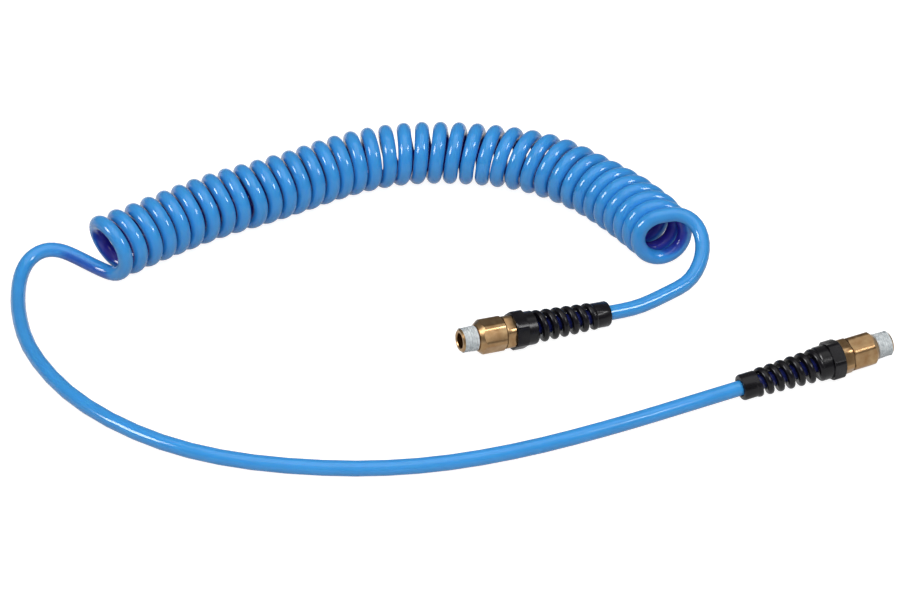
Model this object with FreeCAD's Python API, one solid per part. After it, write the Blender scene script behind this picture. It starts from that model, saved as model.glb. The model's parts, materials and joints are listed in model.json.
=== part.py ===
import FreeCAD, Part
import math
import os

V = FreeCAD.Vector

# Hose, in millimetres
HOSE_OD = 8.0
HOSE_BORE = 5.0
COIL_OD = 36.0
COIL_TURNS = 37.5
ARC_SHARE = 0.45                 # share of the shorter run that an arc may use

# Swivel nipple with its R 1/4 taper thread, stations counted from the thread's end face
THREAD_RADIUS = 13.157 / 2.0
THREAD_PITCH = 1.337
THREAD_DEPTH = 0.73
CREST_FROM = 0.45                # a crest's flat, as shares of the pitch
CREST_TO = 0.55
THREAD_LENGTH = 9.2
NOSE_LENGTH = 1.1
NOSE_RADIUS = 6.2
NOSE_CHAMFER_LENGTH = 0.9
NOSE_CHAMFER_DEPTH = 0.7
COAT_LENGTH = 7.4
COAT_COVER = 0.12                # coat over the thread's crests
AIR_BORE_RADIUS = 4.0
BRASS_HEX = 17.0                 # across flats
NIPPLE_HEX_LENGTH = 14.5
HEX_COLLAR_RADIUS = 7.0
HEX_CONE_LENGTH = 2.8            # from the turned collar out to the corners
HEX_CHAMFER_LENGTH = 0.5
HEX_CHAMFER_DEPTH = 0.8
BRASS_EDGE = 0.4                 # broken edges of bores and of the shank

# Swivel bearing between the nipple and the hose union
SWIVEL_GAP = 0.4
CAVITY_RADIUS = 5.60
RUNNING_CLEARANCE = 0.05
CAVITY_DEPTH = 11.6
SHANK_END_GAP = 0.4
SEAL_SECTION_RADIUS = 0.62
SEAL_CENTRE_RADIUS = 4.94
SEAL_GROOVE_WIDTH = 1.7
SEAL_GROOVE_CLEARANCE = 0.02
PRESSURE_SEAL_AT = 14.8
DUST_SEAL_AT = 21.8
RETAINER_AT = 18.3
RETAINER_WIRE_RADIUS = 0.5
RETAINER_GAP_DEG = 24.0
RETAINER_CLEARANCE = 0.15        # beside and outside the wire, in the nipple's groove
RETAINER_SEAT = 0.1              # the same in the shank's groove
WASHER_RADIUS = 7.4
WASHER_BORE_CLEARANCE = 0.45

# Hose union body
UNION_HEX_LENGTH = 5.1
UNION_THREAD_RADIUS = 7.4
UNION_THREAD_LENGTH = 6.2
HOSE_POCKET_RADIUS = 4.1
HOSE_POCKET_DEPTH = 3.2
BARB_ROOT_RADIUS = 2.4
BARB_TOP_RADIUS = 2.75
BARB_COUNT = 3
BARB_LENGTH = 10.8               # beyond the union's thread
BARB_STEM_BARE = 1.2             # stem before the first barb
BARB_SLOPE_SHARE = 0.9           # share of a barb's step that slopes
UNION_BORE_RADIUS = 1.7
UNION_MOUTH_RADIUS = 3.4         # 45 degree mouth of the bore

# Clamp ring between the union's stem and the nut's cone
CLAMP_RADIUS = 6.6
CLAMP_NOSE_RADIUS = 4.9
CLAMP_BAND_LENGTH = 1.3
CLAMP_CONE_LENGTH = 3.2
CLAMP_GAP = 0.1
CLAMP_BORE_CLEARANCE = 0.03

# Guard nut with its spiral bend protection
NUT_HEX = 19.0                   # across flats
NUT_CORNER_RADIUS = 10.5
NUT_HEX_LENGTH = 6.7
NUT_BARREL_RADIUS = 9.0
NUT_BARREL_LENGTH = 5.9
NUT_BORE_RADIUS = 4.35
NUT_FACE_CHAMFER = 0.6
NUT_BACK_CHAMFER = 0.3
BARREL_CHAMFER = 0.4
SPIRAL_PITCH = 5.85
SPIRAL_TURNS = 5.9
SPIRAL_WIDTH = 4.1
SPIRAL_THICKNESS = 4.6          # down to the bore
SPIRAL_FIRST_RADIUS = 8.9
SPIRAL_LAST_RADIUS = 7.3
SPIRAL_PHASE = 0.709             # turns between the barrel's end and the strand at a hex corner
SPIRAL_ROOT = 1.0                # how far the strand's middle runs into the barrel and the ring
SPIRAL_EDGE_RADIUS = 1.1
GUARD_RING_RADIUS = 6.8
GUARD_RING_LENGTH = 9.1
GUARD_RING_CHAMFER = 0.4
GUARD_MOUTH_CHAMFER = 0.6

# Stations along a fitting, from the thread's end face to the hose side
NIPPLE_HEX_END = THREAD_LENGTH + NIPPLE_HEX_LENGTH
CAVITY_START = NIPPLE_HEX_END - CAVITY_DEPTH
UNION_START = NIPPLE_HEX_END + SWIVEL_GAP
UNION_HEX_END = UNION_START + UNION_HEX_LENGTH
UNION_THREAD_END = UNION_HEX_END + UNION_THREAD_LENGTH
BARB_END = UNION_THREAD_END + BARB_LENGTH
HOSE_POCKET_FLOOR = UNION_THREAD_END - HOSE_POCKET_DEPTH
NUT_HEX_END = UNION_HEX_END + NUT_HEX_LENGTH
NUT_BARREL_END = NUT_HEX_END + NUT_BARREL_LENGTH
SPIRAL_END = NUT_BARREL_END + SPIRAL_TURNS * SPIRAL_PITCH
FITTING_LENGTH = SPIRAL_END + GUARD_RING_LENGTH
CLAMP_CONE_START = UNION_THREAD_END + CLAMP_BAND_LENGTH
CLAMP_CONE_END = CLAMP_CONE_START + CLAMP_CONE_LENGTH

# Where each fitting lies: the hose exit, the way from its thread to its hose, and how it is rolled
SUPPLY = {"exit": (86.2, -14.0), "heading": 23.6, "nut_roll": 45.0,
          "nipple_roll": 27.5, "union_roll": 53.0}
TOOL = {"exit": (150.9, -81.5), "heading": -158.3, "nut_roll": 173.0,
        "nipple_roll": 13.0, "union_roll": 25.0}
SUPPLY_STRAIGHT = 18.0           # straight hose outside the guard ring
TOOL_STRAIGHT = 24.0
HOSE_END_GAP = 0.2               # between the hose's end and the floor of its pocket
BARB_CLEARANCE = 0.05            # between the hose's widened bore and the barbs
HOSE_BORE_STOP = 1.0             # the bore ends this far inside the guard ring

# Routes on the floor: the coil's axis, and the hose tails between the coil and the fittings
COIL_AXIS = [(-182.3, 29.3), (-138.8, 67.7), (-96.5, 90.5), (-48.1, 123.8),
             (-6.5, 133.5), (52.0, 124.6), (98.2, 82.2), (119.4, 43.2)]
TOOL_TAIL = [(-182.3, 29.3, 4.0), (-188.7, 34.6, 4.3), (-197.9, 40.7, 5.8),
             (-207.0, 44.9, 8.0), (-215.5, 44.7, 9.0), (-222.7, 40.3, 7.6),
             (-227.2, 31.6, 5.4), (-228.4, 16.0, 4.0), (-225.4, -11.0, 4.0),
             (-215.2, -46.3, 4.0), (-188.3, -88.3, 4.0), (-148.2, -121.5, 4.0),
             (-104.4, -139.8, 4.0), (-50.7, -146.7, 4.0), (-4.8, -143.4, 4.0),
             (41.6, -130.0, 4.0), (88.5, -109.4, 4.0)]
SUPPLY_TAIL = [(119.4, 43.2, 32.0), (127.1, 45.0, 31.8), (135.4, 42.0, 28.4),
               (139.5, 35.1, 21.8), (138.4, 25.1, 14.5), (131.5, 14.1, 9.1),
               (118.2, 4.6, 8.0)]


def turned(profile):
    """Solid of revolution about the fitting's axis from (station, radius) corners."""
    corners = [V(radius, 0, station) for station, radius in profile]
    face = Part.Face(Part.makePolygon(corners + corners[:1]))
    return face.revolve(V(0, 0, 0), V(0, 0, 1), 360)


def rod(radius, start, end):
    return Part.makeCylinder(radius, end - start, V(0, 0, start))


def tube(outer, inner, start, end):
    return rod(outer, start, end).cut(rod(inner, start, end))


def torus(centre_radius, section_radius, station):
    return Part.makeTorus(centre_radius, section_radius, V(0, 0, station))


def hex_bar(across_flats, start, end, roll):
    """Six-sided bar with one corner at the roll angle."""
    corner_radius = across_flats / math.sqrt(3.0)
    corners = []
    for side in range(7):
        angle = math.radians(roll + 60.0 * side)
        corners.append(V(corner_radius * math.cos(angle), corner_radius * math.sin(angle), start))
    return Part.Face(Part.makePolygon(corners)).extrude(V(0, 0, end - start))


def barbed_stem():
    """Outside of the union's stem: a root cylinder with saw-tooth rings that hold the hose."""
    profile = [(HOSE_POCKET_FLOOR - 1.0, 0), (HOSE_POCKET_FLOOR - 1.0, BARB_ROOT_RADIUS)]
    first = UNION_THREAD_END + BARB_STEM_BARE
    step = (BARB_END - first) / BARB_COUNT
    for tooth in range(BARB_COUNT):
        start = first + tooth * step
        profile += [(start, BARB_ROOT_RADIUS), (start, BARB_TOP_RADIUS),
                    (start + step * BARB_SLOPE_SHARE, BARB_ROOT_RADIUS)]
    profile += [(BARB_END, BARB_ROOT_RADIUS), (BARB_END, 0)]
    return turned(profile)


def nipple(roll):
    """Swivel nipple: ringed thread, turned collar, long hexagon and the bearing cavity."""
    crest = THREAD_RADIUS - COAT_COVER
    root = crest - THREAD_DEPTH
    profile = [(0, 0), (0, NOSE_RADIUS - NOSE_CHAMFER_DEPTH), (NOSE_CHAMFER_LENGTH, NOSE_RADIUS),
               (NOSE_LENGTH, NOSE_RADIUS)]
    rings = int(COAT_LENGTH / THREAD_PITCH)
    margin = (COAT_LENGTH - rings * THREAD_PITCH) / 2.0
    for ring in range(rings):
        start = NOSE_LENGTH + margin + ring * THREAD_PITCH
        profile += [(start, root), (start + THREAD_PITCH * CREST_FROM, crest),
                    (start + THREAD_PITCH * CREST_TO, crest), (start + THREAD_PITCH, root)]
    profile += [(NOSE_LENGTH + COAT_LENGTH, NOSE_RADIUS), (THREAD_LENGTH, NOSE_RADIUS),
                (THREAD_LENGTH, 0)]
    stub = turned(profile)
    corner = BRASS_HEX / math.sqrt(3.0)
    blank = turned([(THREAD_LENGTH, 0), (THREAD_LENGTH, HEX_COLLAR_RADIUS),
                    (THREAD_LENGTH + HEX_CONE_LENGTH, corner),
                    (NIPPLE_HEX_END - HEX_CHAMFER_LENGTH, corner),
                    (NIPPLE_HEX_END, corner - HEX_CHAMFER_DEPTH), (NIPPLE_HEX_END, 0)])
    body = stub.fuse(hex_bar(BRASS_HEX, THREAD_LENGTH, NIPPLE_HEX_END, roll).common(blank))
    hollow = turned([(0, 0), (0, AIR_BORE_RADIUS + BRASS_EDGE), (BRASS_EDGE, AIR_BORE_RADIUS),
                     (CAVITY_START, AIR_BORE_RADIUS), (CAVITY_START, CAVITY_RADIUS),
                     (NIPPLE_HEX_END - BRASS_EDGE, CAVITY_RADIUS),
                     (NIPPLE_HEX_END, CAVITY_RADIUS + BRASS_EDGE), (NIPPLE_HEX_END, 0)])
    groove_half = RETAINER_WIRE_RADIUS + RETAINER_CLEARANCE
    groove = rod(CAVITY_RADIUS + groove_half, RETAINER_AT - groove_half, RETAINER_AT + groove_half)
    return body.cut(hollow).cut(groove)


def thread_sealant(nipple_solid):
    """Dry white coat that fills the thread behind the bare nose."""
    coat = tube(THREAD_RADIUS, THREAD_RADIUS - 2.0 * THREAD_DEPTH, NOSE_LENGTH,
                NOSE_LENGTH + COAT_LENGTH)
    return largest_solid(coat.cut(nipple_solid))


def seal(station):
    return torus(SEAL_CENTRE_RADIUS, SEAL_SECTION_RADIUS, station)


def retaining_ring():
    """Split spring wire that locks the union's shank in the nipple."""
    ring = torus(CAVITY_RADIUS, RETAINER_WIRE_RADIUS, RETAINER_AT)
    reach = 2.0 * CAVITY_RADIUS
    half = math.radians(RETAINER_GAP_DEG / 2.0)
    corners = [V(0, 0, RETAINER_AT - 1), V(reach, -reach * math.tan(half), RETAINER_AT - 1),
               V(reach, reach * math.tan(half), RETAINER_AT - 1)]
    gap = Part.Face(Part.makePolygon(corners + corners[:1])).extrude(V(0, 0, 2))
    return ring.cut(gap)


def slip_washer():
    """Thin slide washer in the gap between the two brass hexagons."""
    return tube(WASHER_RADIUS, CAVITY_RADIUS + WASHER_BORE_CLEARANCE,
                NIPPLE_HEX_END + RUNNING_CLEARANCE, UNION_START)


def union_body(roll):
    """Brass union: grooved shank for the swivel, hexagon, thread for the nut and barbed stem."""
    shank_radius = CAVITY_RADIUS - RUNNING_CLEARANCE
    shank_start = CAVITY_START + SHANK_END_GAP
    body = turned([(shank_start, 0), (shank_start, shank_radius - BRASS_EDGE),
                   (shank_start + BRASS_EDGE, shank_radius), (UNION_START, shank_radius),
                   (UNION_START, 0)])
    corner = BRASS_HEX / math.sqrt(3.0)
    blank = turned([(UNION_START, 0), (UNION_START, corner - HEX_CHAMFER_DEPTH),
                    (UNION_START + HEX_CHAMFER_LENGTH, corner),
                    (UNION_HEX_END - HEX_CHAMFER_LENGTH, corner),
                    (UNION_HEX_END, corner - HEX_CHAMFER_DEPTH), (UNION_HEX_END, 0)])
    body = body.fuse(hex_bar(BRASS_HEX, UNION_START, UNION_HEX_END, roll).common(blank))
    body = body.fuse(rod(UNION_THREAD_RADIUS, UNION_HEX_END, UNION_THREAD_END))
    body = body.cut(rod(HOSE_POCKET_RADIUS, HOSE_POCKET_FLOOR, UNION_THREAD_END))
    body = body.fuse(barbed_stem())
    groove_floor = SEAL_CENTRE_RADIUS - SEAL_SECTION_RADIUS - SEAL_GROOVE_CLEARANCE
    half = SEAL_GROOVE_WIDTH / 2.0
    for station in (PRESSURE_SEAL_AT, DUST_SEAL_AT):
        body = body.cut(tube(CAVITY_RADIUS, groove_floor, station - half, station + half))
    half = RETAINER_WIRE_RADIUS + RETAINER_SEAT
    body = body.cut(tube(CAVITY_RADIUS, CAVITY_RADIUS - half, RETAINER_AT - half,
                         RETAINER_AT + half))
    mouth_end = shank_start + UNION_MOUTH_RADIUS
    mouth = turned([(shank_start, 0), (shank_start, UNION_MOUTH_RADIUS),
                    (mouth_end, UNION_BORE_RADIUS), (mouth_end, 0)])
    return body.cut(mouth).cut(rod(UNION_BORE_RADIUS, shank_start, BARB_END))


def clamp_ring():
    """Conical sleeve that the nut squeezes on the hose over the barbed stem."""
    start = UNION_THREAD_END + CLAMP_GAP
    sleeve = turned([(start, 0), (start, CLAMP_RADIUS), (CLAMP_CONE_START, CLAMP_RADIUS),
                     (CLAMP_CONE_END, CLAMP_NOSE_RADIUS), (CLAMP_CONE_END, 0)])
    return sleeve.cut(rod(HOSE_OD / 2.0 + CLAMP_BORE_CLEARANCE, start, CLAMP_CONE_END))


def spiral_strand(roll):
    """Right-handed, tapering strand of the bend protection, run into the barrel and the ring."""
    first = NUT_BARREL_END - SPIRAL_ROOT
    last = SPIRAL_END + SPIRAL_ROOT
    middle_first = SPIRAL_FIRST_RADIUS - SPIRAL_THICKNESS / 2.0
    middle_last = SPIRAL_LAST_RADIUS - SPIRAL_THICKNESS / 2.0
    apex = math.degrees(math.atan2(middle_first - middle_last, last - first))
    helix = Part.makeLongHelix(SPIRAL_PITCH, last - first, middle_last, apex)
    half_width = SPIRAL_WIDTH / 2.0
    half_thick = SPIRAL_THICKNESS / 2.0
    soft = SPIRAL_EDGE_RADIUS
    inner = middle_last - half_thick
    outer = middle_last + half_thick
    mid = soft * (1.0 - math.sqrt(0.5))
    profile = Part.Wire([
        Part.makeLine(V(inner, 0, -half_width), V(outer - soft, 0, -half_width)),
        Part.Arc(V(outer - soft, 0, -half_width), V(outer - mid, 0, -half_width + mid),
                 V(outer, 0, -half_width + soft)).toShape(),
        Part.makeLine(V(outer, 0, -half_width + soft), V(outer, 0, half_width - soft)),
        Part.Arc(V(outer, 0, half_width - soft), V(outer - mid, 0, half_width - mid),
                 V(outer - soft, 0, half_width)).toShape(),
        Part.makeLine(V(outer - soft, 0, half_width), V(inner, 0, half_width)),
        Part.makeLine(V(inner, 0, half_width), V(inner, 0, -half_width))])
    strand = Part.Wire(helix.Edges).makePipeShell([profile], True, True)
    # The helix grows from the ring towards the barrel, so it is turned end for end
    strand.rotate(V(0, 0, 0), V(1, 0, 0), 180)
    strand.translate(V(0, 0, last))
    turns_at_last = (last - NUT_BARREL_END) / SPIRAL_PITCH - SPIRAL_PHASE
    strand.rotate(V(0, 0, 0), V(0, 0, 1), roll + 360.0 * turns_at_last)
    return strand


def guard_nut(roll):
    """Black union nut: hexagon, round barrel, spiral bend protection and end ring in one piece."""
    blank = turned([(UNION_HEX_END, 0), (UNION_HEX_END, NUT_CORNER_RADIUS - NUT_FACE_CHAMFER),
                    (UNION_HEX_END + NUT_FACE_CHAMFER, NUT_CORNER_RADIUS),
                    (NUT_HEX_END - NUT_BACK_CHAMFER, NUT_CORNER_RADIUS),
                    (NUT_HEX_END, NUT_CORNER_RADIUS - NUT_BACK_CHAMFER), (NUT_HEX_END, 0)])
    body = hex_bar(NUT_HEX, UNION_HEX_END, NUT_HEX_END, roll).common(blank)
    body = body.fuse(turned([(NUT_HEX_END, 0), (NUT_HEX_END, NUT_BARREL_RADIUS),
                             (NUT_BARREL_END - BARREL_CHAMFER, NUT_BARREL_RADIUS),
                             (NUT_BARREL_END, NUT_BARREL_RADIUS - BARREL_CHAMFER),
                             (NUT_BARREL_END, 0)]))
    ring = turned([(SPIRAL_END, 0), (SPIRAL_END, GUARD_RING_RADIUS - GUARD_RING_CHAMFER),
                   (SPIRAL_END + GUARD_RING_CHAMFER, GUARD_RING_RADIUS),
                   (FITTING_LENGTH - GUARD_MOUTH_CHAMFER, GUARD_RING_RADIUS),
                   (FITTING_LENGTH, GUARD_RING_RADIUS - GUARD_MOUTH_CHAMFER),
                   (FITTING_LENGTH, 0)])
    body = body.fuse([spiral_strand(roll), ring])
    hollow = turned([(UNION_HEX_END, 0), (UNION_HEX_END, UNION_THREAD_RADIUS),
                     (UNION_THREAD_END, UNION_THREAD_RADIUS),
                     (UNION_THREAD_END, CLAMP_RADIUS + CLAMP_GAP),
                     (CLAMP_CONE_START + CLAMP_GAP, CLAMP_RADIUS + CLAMP_GAP),
                     (CLAMP_CONE_END + CLAMP_GAP, CLAMP_NOSE_RADIUS + CLAMP_GAP),
                     (CLAMP_CONE_END + CLAMP_GAP, NUT_BORE_RADIUS),
                     (FITTING_LENGTH, NUT_BORE_RADIUS), (FITTING_LENGTH, 0)])
    return body.cut(hollow)


def largest_solid(shape):
    return max(shape.Solids, key=lambda solid: solid.Volume)


def lowest_nut_radius(roll):
    """Distance from the axis down to the floor under the nut's hexagon."""
    rounded = 30.0 - math.degrees(math.acos(NUT_HEX / 2.0 / NUT_CORNER_RADIUS))
    off_bottom = min(abs(180.0 - roll - 60.0 * side) for side in range(6))
    return NUT_CORNER_RADIUS * math.cos(math.radians(max(0.0, off_bottom - rounded)))


def fitting_frame(end):
    """Placement of a fitting that rests on its nut and its guard ring, and its exit and heading."""
    span = FITTING_LENGTH - NUT_HEX_END
    tilt = math.atan2(lowest_nut_radius(end["nut_roll"]) - GUARD_RING_RADIUS, span)
    heading = math.radians(end["heading"])
    along = V(math.cos(tilt) * math.cos(heading), math.cos(tilt) * math.sin(heading),
              -math.sin(tilt))
    side = along.cross(V(0, 0, 1)).normalize()
    up = side.cross(along)
    hose_exit = V(end["exit"][0], end["exit"][1], GUARD_RING_RADIUS * math.cos(tilt))
    start = hose_exit - along * FITTING_LENGTH
    matrix = FreeCAD.Matrix(up.x, side.x, along.x, start.x, up.y, side.y, along.y, start.y,
                            up.z, side.z, along.z, start.z, 0, 0, 0, 1)
    return FreeCAD.Placement(matrix), hose_exit, along


def rounded_path(points):
    """Straight runs joined by tangent arcs, as a wire, with its length and its radii."""
    edges = []
    radii = []
    last = points[0]
    for before, corner, after in zip(points, points[1:], points[2:]):
        way_in = (corner - before).normalize()
        way_out = (after - corner).normalize()
        half_turn = way_in.getAngle(way_out) / 2.0
        cut = ARC_SHARE * min((corner - before).Length, (after - corner).Length)
        radius = cut / math.tan(half_turn)
        radii.append(radius)
        arc_start = corner - way_in * cut
        arc_end = corner + way_out * cut
        inward = (way_out - way_in).normalize()
        arc_middle = corner + inward * (radius / math.cos(half_turn) - radius)
        edges.append(Part.LineSegment(last, arc_start).toShape())
        edges.append(Part.Arc(arc_start, arc_middle, arc_end).toShape())
        last = arc_end
    edges.append(Part.LineSegment(last, points[-1]).toShape())
    return Part.Wire(edges), radii


def swept(points, radius, name):
    """Round bar along a route."""
    path, radii = rounded_path(points)
    way = (points[1] - points[0]).normalize()
    profile = Part.Wire([Part.makeCircle(radius, points[0], way)])
    solid = path.makePipeShell([profile], True, False)
    if solid.Volume < 0:
        solid.reverse()
    ratio = solid.Volume / (math.pi * radius ** 2 * path.Length)
    print("%s: %.0f mm along, radii %s, volume ratio %.4f"
          % (name, path.Length, " ".join("%.0f" % value for value in radii), ratio))
    return solid, path.Length


def coil():
    """Fat tube around the coil's axis: the outside and the open middle of all its turns."""
    height = COIL_OD / 2.0
    points = [V(x, y, height) for x, y in COIL_AXIS]
    outside, length = swept(points, COIL_OD / 2.0, "coil axis")
    inside, _ = swept(points, COIL_OD / 2.0 - HOSE_OD, "coil opening")
    return outside.cut(inside), length


def hose_tail(points, placement, name):
    """Free hose as a round bar, and its hollow end inside the guard and over the barbed stem."""
    free, length = swept(points, HOSE_OD / 2.0, name)
    hose_start = HOSE_POCKET_FLOOR + HOSE_END_GAP
    end_piece = rod(HOSE_OD / 2.0, hose_start, FITTING_LENGTH)
    end_piece = end_piece.cut(rod(BARB_TOP_RADIUS + BARB_CLEARANCE, hose_start,
                                  BARB_END + HOSE_END_GAP))
    end_piece = end_piece.cut(rod(HOSE_BORE / 2.0, BARB_END, FITTING_LENGTH - HOSE_BORE_STOP))
    end_piece.Placement = placement
    return free.fuse(end_piece).removeSplitter(), length + FITTING_LENGTH - hose_start


def fitting(prefix, end):
    """All pieces of one swivel fitting in place, by node name."""
    placement, hose_exit, along = fitting_frame(end)
    nipple_solid = nipple(end["nipple_roll"])
    pieces = {
        "nipple": nipple_solid,
        "thread_sealant": thread_sealant(nipple_solid),
        "pressure_seal": seal(PRESSURE_SEAL_AT),
        "dust_seal": seal(DUST_SEAL_AT),
        "retaining_ring": retaining_ring(),
        "slip_washer": slip_washer(),
        "union_body": union_body(end["union_roll"]),
        "clamp_ring": clamp_ring(),
        "guard_nut": guard_nut(end["nut_roll"])}
    for shape in pieces.values():
        shape.Placement = placement.multiply(shape.Placement)
    named = {prefix + "_" + name: shape for name, shape in pieces.items()}
    return named, placement, hose_exit, along


def main():
    os.makedirs("parts", exist_ok=True)
    nodes = {}
    lengths = []
    nodes["hose_coil"], axis_length = coil()
    mean_turn = math.pi * (COIL_OD - HOSE_OD)
    lengths.append(COIL_TURNS * math.hypot(mean_turn, axis_length / COIL_TURNS))
    for prefix, end, route, straight in (("supply", SUPPLY, SUPPLY_TAIL, SUPPLY_STRAIGHT),
                                         ("tool", TOOL, TOOL_TAIL, TOOL_STRAIGHT)):
        pieces, placement, hose_exit, along = fitting(prefix, end)
        nodes.update(pieces)
        points = [V(*point) for point in route] + [hose_exit + along * straight, hose_exit]
        nodes[prefix + "_hose_tail"], length = hose_tail(points, placement, prefix + " tail")
        lengths.append(length)
        thread_middle = placement.multVec(V(0, 0, NOSE_LENGTH + COAT_LENGTH / 2.0))
        print(prefix, "thread middle", thread_middle, "heading", along, "exit", hose_exit)
    whole = Part.makeCompound(list(nodes.values()))
    box = whole.BoundBox
    print("hose lengths: coil, supply tail, tool tail:", ["%.0f" % value for value in lengths])
    print("box %.2f..%.2f  %.2f..%.2f  %.2f..%.2f"
          % (box.XMin, box.XMax, box.YMin, box.YMax, box.ZMin, box.ZMax))
    for name, shape in nodes.items():
        if len(shape.Solids) != 1 or not shape.isValid():
            print("check", name, "solids", len(shape.Solids), "valid", shape.isValid())
        shape.exportStep("parts/" + name + ".step")
    print(len(nodes), "nodes written")


main()
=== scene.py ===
# %% [markdown]
# A coiled air hose lies on a white table: 4.1 m of blue polyurethane tube, most of it wound into
# 37 turns, with a brass swivel fitting and a black spiral bend guard at each end.
# The model of its construction is loaded first. It says where every piece is, and nothing in
# this lesson moves it. The camera and the hose come next, then the fittings, finishes and light.

# %% Load the frame
import json
import math

import bpy
from mathutils import Matrix, Vector


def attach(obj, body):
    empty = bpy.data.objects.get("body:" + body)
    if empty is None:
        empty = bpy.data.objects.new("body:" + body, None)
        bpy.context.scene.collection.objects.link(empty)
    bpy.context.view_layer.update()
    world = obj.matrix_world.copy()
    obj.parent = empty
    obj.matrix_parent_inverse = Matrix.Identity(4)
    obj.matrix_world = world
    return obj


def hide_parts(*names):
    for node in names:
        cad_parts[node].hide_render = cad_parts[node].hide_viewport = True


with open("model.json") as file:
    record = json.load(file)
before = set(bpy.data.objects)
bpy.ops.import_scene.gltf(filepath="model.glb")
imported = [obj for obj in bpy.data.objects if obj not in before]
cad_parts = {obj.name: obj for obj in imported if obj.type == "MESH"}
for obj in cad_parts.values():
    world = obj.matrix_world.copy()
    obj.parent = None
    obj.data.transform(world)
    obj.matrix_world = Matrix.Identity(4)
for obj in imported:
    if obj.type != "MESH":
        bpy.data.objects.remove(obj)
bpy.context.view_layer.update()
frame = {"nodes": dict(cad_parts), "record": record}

MM = 0.001

# %% [markdown]
# The picture was taken with a long lens from 34 degrees above the table. A long lens keeps the
# far turns of the coil almost as large as the near ones. A camera could be aimed with a
# constraint, but a constraint would stay in the file, so it is placed by its aim on the table,
# its elevation and its distance. The Standard view keeps colours as they are written.

# %% Camera
CAMERA_AIM = Vector((3.2, 8.7, 0.0)) * MM
CAMERA_ELEVATION = math.radians(34.0)
CAMERA_DISTANCE = 1.632
CAMERA_LENS_MM = 122.0

camera_way = Vector((0.0, -math.cos(CAMERA_ELEVATION), math.sin(CAMERA_ELEVATION)))
bpy.ops.object.camera_add(location=CAMERA_AIM + camera_way * CAMERA_DISTANCE,
                          rotation=(math.pi / 2.0 - CAMERA_ELEVATION, 0.0, 0.0))
camera = bpy.context.object
camera.name = "photo_camera"
camera.data.lens = CAMERA_LENS_MM
camera.data.sensor_width = 36.0
bpy.context.scene.camera = camera
bpy.context.scene.view_settings.view_transform = "Standard"
print("camera at", [round(value, 3) for value in camera.location])

# %% [markdown]
# The hose is one tube from fitting to fitting. It could be three curves, but their ends would
# show, so the tails and the coil are one NURBS spline of order 3, which bends smoothly and stays
# on the table. Its ends run straight into the fittings, whose axes come from the model's record.

# %% Where the fittings lie
# Stations along a fitting in millimetres, from the thread's end face towards the hose
THREAD_MIDDLE = 4.8
HOSE_START = 33.6
FITTING_LENGTH = 85.415
HOSE_STATIONS = (HOSE_START, 50.0, 68.0, FITTING_LENGTH)


def fitting_matrix(end):
    """A fitting's own axes in the frame: x up, y sideways, z from its thread to its hose."""
    mounts = {mount["name"]: mount for mount in frame["record"]["mounts"]}
    mount = mounts[end + "_thread"]
    along = -Vector(mount["axis"]).normalized()
    side = along.cross(Vector((0, 0, 1))).normalized()
    up = side.cross(along)
    matrix = Matrix((up, side, along)).transposed().to_4x4()
    matrix.translation = Vector(mount["pos_m"]) - along * THREAD_MIDDLE * MM
    return matrix


PLACES = {end: fitting_matrix(end) for end in ("supply", "tool")}


def on_axis(end, station):
    """The point of a fitting's axis at a station, in metres."""
    return PLACES[end] @ Vector((0, 0, station * MM))


print("hose leaves its guards at", on_axis("supply", FITTING_LENGTH), on_axis("tool", FITTING_LENGTH))

# %% [markdown]
# The free lengths of the hose are a few given points. The curl next to the left end of
# the coil is lifted a little off the table, because a flat curl would bend tighter than the tube
# can. The coil's own line is a short route too, and the turns are wound round it further down.

# %% The hose's route
HOSE_DIAMETER = 8.0
COIL_DIAMETER = 36.0
COIL_TURNS = 37.5
POINTS_PER_TURN = 16
SUPPLY_STRAIGHT = 18.0
TOOL_STRAIGHT = 24.0
COIL_AXIS = [(-182.3, 29.3), (-138.8, 67.7), (-96.5, 90.5), (-48.1, 123.8),
             (-6.5, 133.5), (52.0, 124.6), (98.2, 82.2), (119.4, 43.2)]
TOOL_TAIL = [(-188.7, 34.2, 4.6), (-197.9, 37.9, 7.7), (-207.0, 41.3, 10.4),
             (-215.5, 41.1, 11.4), (-222.7, 37.0, 9.8), (-227.2, 29.8, 6.6),
             (-228.4, 15.6, 4.3), (-225.4, -11.0, 4.0), (-215.2, -46.3, 4.0),
             (-188.3, -88.3, 4.0), (-148.2, -121.5, 4.0), (-104.4, -139.8, 4.0),
             (-50.7, -146.7, 4.0), (-4.8, -143.4, 4.0), (41.6, -130.0, 4.0),
             (88.5, -109.4, 4.0)]
SUPPLY_TAIL = [(127.1, 45.0, 31.8), (135.4, 42.0, 28.4), (139.5, 35.1, 21.8),
               (138.4, 25.1, 14.5), (131.5, 13.4, 8.4), (118.2, 3.4, 7.2)]


def nurbs_curve(name, points, steps):
    """An open NURBS spline steered by its points, as a curve object."""
    data = bpy.data.curves.new(name, "CURVE")
    data.dimensions = "3D"
    spline = data.splines.new("NURBS")
    spline.points.add(len(points) - 1)
    for place, point in zip(spline.points, points):
        place.co = (*point, 1.0)
    spline.order_u = 3
    spline.use_endpoint_u = True
    spline.resolution_u = steps
    data.resolution_u = steps
    curve = bpy.data.objects.new(name, data)
    bpy.context.scene.collection.objects.link(curve)
    return curve


def curve_line(curve):
    """The points that Blender draws a curve with."""
    bpy.context.view_layer.update()
    evaluated = curve.evaluated_get(bpy.context.evaluated_depsgraph_get())
    mesh = bpy.data.meshes.new_from_object(evaluated)
    line = [vertex.co.copy() for vertex in mesh.vertices]
    bpy.data.meshes.remove(mesh)
    return line


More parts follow.
